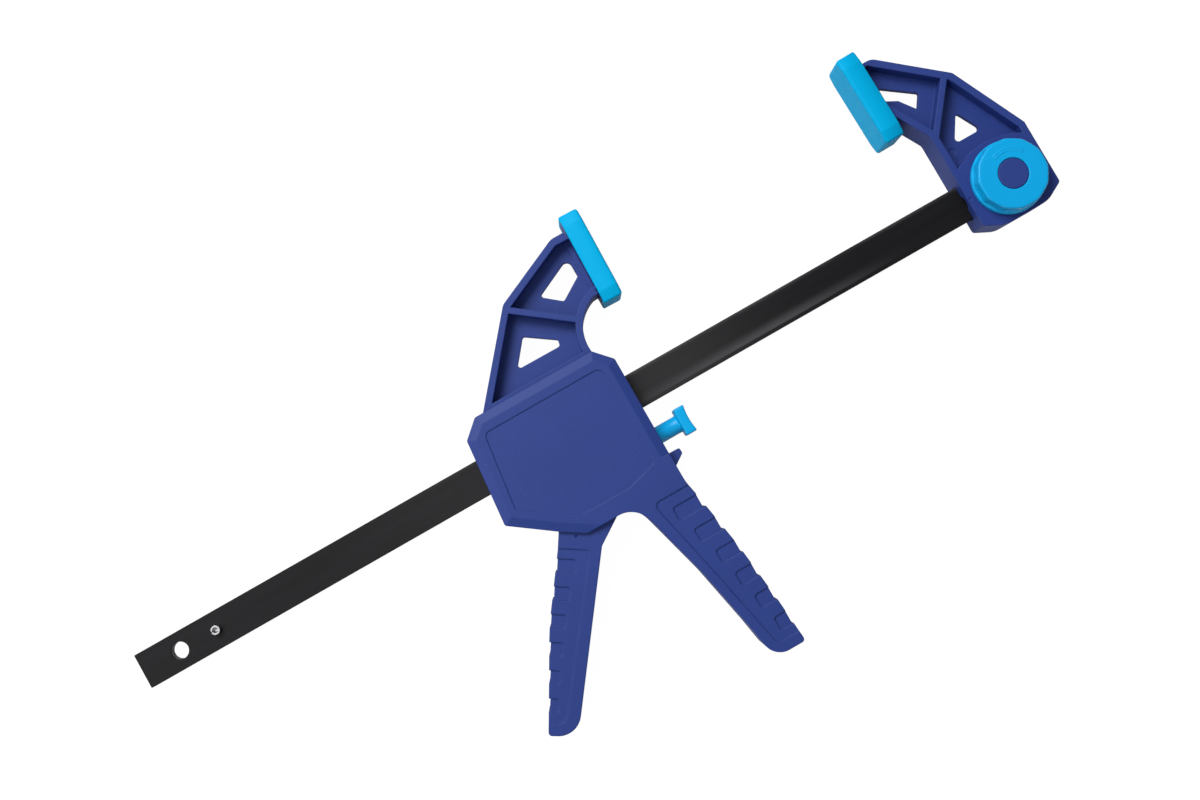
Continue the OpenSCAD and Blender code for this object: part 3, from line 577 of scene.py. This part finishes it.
# Two raised arcs: a bell curve across the radius, faded out at both ends of the arc.
arc_radii = (12.6 * mm, 14.0 * mm)
arc_width = 0.3 * mm
arc_height = 0.5 * mm
arc_from = math.radians(35)
arc_to = math.radians(110)
arc_fade = 0.05
on_top = smooth_step(height, top - 0.2 * mm, top - 0.1 * mm)
across = sum(np.exp(-(((radius - r) / arc_width) ** 2)) for r in arc_radii)
along = smooth_step(turn, arc_from, arc_from + arc_fade)
along = along - smooth_step(turn, arc_to, arc_to + arc_fade)
lifted = height + arc_height * on_top * across * along
knob_x = knob_centre[0] + ring * np.cos(turn)
knob_y = knob_centre[1] + ring * np.sin(turn)
knob = surface("grip_knob", np.stack([knob_x, knob_y, lifted], axis=-1), hard_plastic, True)
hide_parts("lock_knob")
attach(knob, "knob")


# ---------------------------------------------------------------------------------------------
# Knob cap: a deep blue disc pressed into the knob, slightly sunk and crowned.
# Radius and height are powers of the sine and cosine of one angle, which gives a flat disc with a
# rounded rim.
squareness = 0.12
pole_gap = 0.0004
fall = np.linspace(pole_gap, math.pi - pole_gap, 61)[:, None]
cap_turn = np.linspace(0, 2 * math.pi, 120, endpoint=False)[None, :]
cap_radius = cap_r * np.sin(fall) ** squareness
cap_half = (cap_high[2] - cap_low[2]) / 2
crown = np.sign(np.cos(fall)) * np.abs(np.cos(fall)) ** squareness
cap_x = knob_centre[0] + cap_radius * np.cos(cap_turn)
cap_y = knob_centre[1] + cap_radius * np.sin(cap_turn)
cap_z = cap_low[2] + cap_half * (1 + crown) + 0 * cap_turn
cap = surface("cap_disc", np.stack([cap_x, cap_y, cap_z], axis=-1), nylon, False)
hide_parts("knob_cap")
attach(cap, "knob")


# ---------------------------------------------------------------------------------------------
# Springs, wound from drawn wire: the lock spring inside the lock pin, the drive spring round the
# bar and the brake spring between its seat and the brake plate.
def wire_look(pen):
    return {
        "Base Color": pen.noise(500).mix((0.4, 0.4, 0.42, 1), (0.52, 0.52, 0.54, 1)),
        "Roughness": 0.25 + pen.noise(90) * 0.15,
    }


spring_wire = finish_material("spring wire", metal, wire_look, turned_bump)
points_per_turn = 36
points_round_wire = 14
joint_range = {joint["name"]: joint.get("range_m") for joint in frame["joints"]}


def coil(node, body, wire, turns, axis, joint, far_end):
    """A compression spring in its node's box: wire carried along a helix about an axis.

    The helix rises evenly except in its first and last half turns, which lie flat. The joint's
    travel and the fixed end, the far one or the near one, are worked out, but the coil keeps its
    length.
    """
    low, high = (np.array(corner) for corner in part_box(node))
    middle = (low + high) / 2
    length = high[axis] - low[axis]
    across = (axis + 1) % 3
    coil_r = (high[across] - low[across]) / 2 - wire / 2
    t = np.linspace(0, turns, turns * points_per_turn + 1)[:, None]
    rise = wire / 2 + (length - wire) * np.clip((t - 0.5) / (turns - 1), 0, 1)
    around = np.linspace(0, 2 * math.pi, points_round_wire, endpoint=False)[None, :]
    reach = coil_r + wire / 2 * np.cos(around)
    local = {
        axis: low[axis] + rise + wire / 2 * np.sin(around),
        across: middle[across] + reach * np.cos(2 * math.pi * t),
        (axis + 2) % 3: middle[(axis + 2) % 3] + reach * np.sin(2 * math.pi * t),
    }
    grid = np.stack([local[i] for i in range(3)], axis=-1)
    spring = surface(node + "_coil", grid, spring_wire, False)
    anchor = middle.copy()
    anchor[axis] = high[axis] if far_end else low[axis]
    travel = max(abs(end) for end in joint_range[joint])
    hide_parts(node)
    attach(spring, body)
    (length - travel) / length
    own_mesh(spring)


coil("lock_spring", "frame", 0.8 * mm, 6, 2, "lock_pin_slide", True)
coil("drive_spring", "carriage", 1.3 * mm, 5, 0, "drive_plates_slide", False)
coil("brake_spring", "carriage", 1.0 * mm, 6, 0, "release_button_slide", False)


# ---------------------------------------------------------------------------------------------
# Plates that grip the bar: the drive plates and the brake plate, stamped from hardened steel.
def stamped_look(pen):
    scale = pen.noise(60, 4)
    return {
        "Base Color": scale.mix((0.2, 0.2, 0.21, 1), (0.36, 0.36, 0.37, 1)),
        "Roughness": 0.35 + scale * 0.25,
    }


stamped_steel = finish_material("stamped steel", metal, stamped_look, turned_bump, 0.25 * mm)
for node in ("drive_plates", "brake_plate"):
    dress(node, stamped_steel)


# ---------------------------------------------------------------------------------------------
# Release button: one light blue moulding, a round shaft with a collar inside the case and a
# block outside it, hollowed for the fingertip.
def inward(outline, distance):
    """A closed counter-clockwise outline, each point moved inwards across its neighbours' chord."""
    along = np.roll(outline, -1, axis=0) - np.roll(outline, 1, axis=0)
    along /= np.linalg.norm(along, axis=1, keepdims=True)
    return outline + distance * np.stack([-along[:, 1], along[:, 0]], axis=1)


button_low, button_high = (np.array(corner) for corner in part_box("release_button"))
button_middle = (button_low + button_high) / 2
tip_r = 3 * mm
shaft_r = 4.9 * mm
collar_r = 6.0 * mm
collar_x = button_low[0] + 0.94 * mm
collar_end = collar_x + 1.25 * mm
head_t = 6.53 * mm
head_x = button_high[0] - head_t
half_h, half_w = (button_high - button_low)[1:] / 2
head_edge = 0.9 * mm
hollow_r = 35 * mm
head_corner = 1.5 * mm
head_corners = [
    (-half_h, -half_w, head_corner),
    (half_h, -half_w, head_corner),
    (half_h, half_w, head_corner),
    (-half_h, half_w, head_corner),
]
head_rim = spaced(soft_outline(head_corners), 0.6 * mm)
outward = head_rim / np.linalg.norm(head_rim, axis=1, keepdims=True)
# Round rows (place, radius): the ball tip, the collar, the shaft, and the flare into the head.
ball = np.linspace(0.05, 0.82, 7)
round_rows = np.vstack(
    [
        np.stack([button_low[0] + tip_r * (1 - np.cos(ball)), tip_r * np.sin(ball)], axis=1),
        [
            (collar_x, collar_r - 0.2 * mm),
            (collar_x + 0.2 * mm, collar_r),
            (collar_end - 0.2 * mm, collar_r),
            (collar_end, collar_r - 0.2 * mm),
            (collar_end, shaft_r),
            (head_x - 1.2 * mm, shaft_r),
            (head_x - 0.5 * mm, shaft_r + 0.2 * mm),
            (head_x, shaft_r + 0.8 * mm),
        ],
    ]
)
shaft_rings = round_rows[:, 1][:, None, None] * outward
shaft_place = round_rows[:, 0][:, None] + 0 * shaft_rings[:, :, 0]
# Head rows: a quarter turn over the back edge, one over the front edge, and rings drawn in over
# the hollow, which is part of a cylinder across the head.
back_rings = np.stack([inward(head_rim, head_edge * (1 - math.sin(q))) for q in quarter])
back_place = (head_x + head_edge * (1 - np.cos(quarter)))[:, None] + 0 * back_rings[:, :, 0]
front_rings = np.stack([inward(head_rim, head_edge * (1 - math.cos(q))) for q in quarter])
face_rings = front_rings[-1] * np.array([0.85, 0.65, 0.45, 0.25, 0.05])[:, None, None]
hollow_rings = np.concatenate([front_rings, face_rings])
below_hollow = np.concatenate([head_edge * (1 - np.sin(quarter)), np.zeros(len(face_rings))])
hollow_place = (
    button_high[0]
    + math.sqrt(hollow_r**2 - half_h**2)
    - np.sqrt(hollow_r**2 - hollow_rings[:, :, 0] ** 2)
    - below_hollow[:, None]
)
rings = np.concatenate([shaft_rings, back_rings, hollow_rings])
place = np.concatenate([shaft_place, back_place, hollow_place])
button_y = button_middle[1] + rings[:, :, 0]
button_z = button_middle[2] + rings[:, :, 1]
button_grid = np.stack([place, button_y, button_z], axis=-1)
button = surface("button_moulding", button_grid, hard_plastic, False)
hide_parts("release_button")
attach(button, "button")


# ---------------------------------------------------------------------------------------------
# Case screws: pan heads with a cross recess, blackened, driven in from the back.
def screw_look(pen):
    wear = pen.edges(0.3 * mm)
    return {
        "Base Color": (wear * 0.6).mix((0.025, 0.025, 0.027, 1), (0.22, 0.22, 0.23, 1)),
        "Roughness": 0.32 + pen.noise(300) * 0.2,
    }


screw_black = finish_material("screw black", {"Metallic": 0.9}, screw_look, turned_bump)
finished("case_screws", "carriage", screw_black)
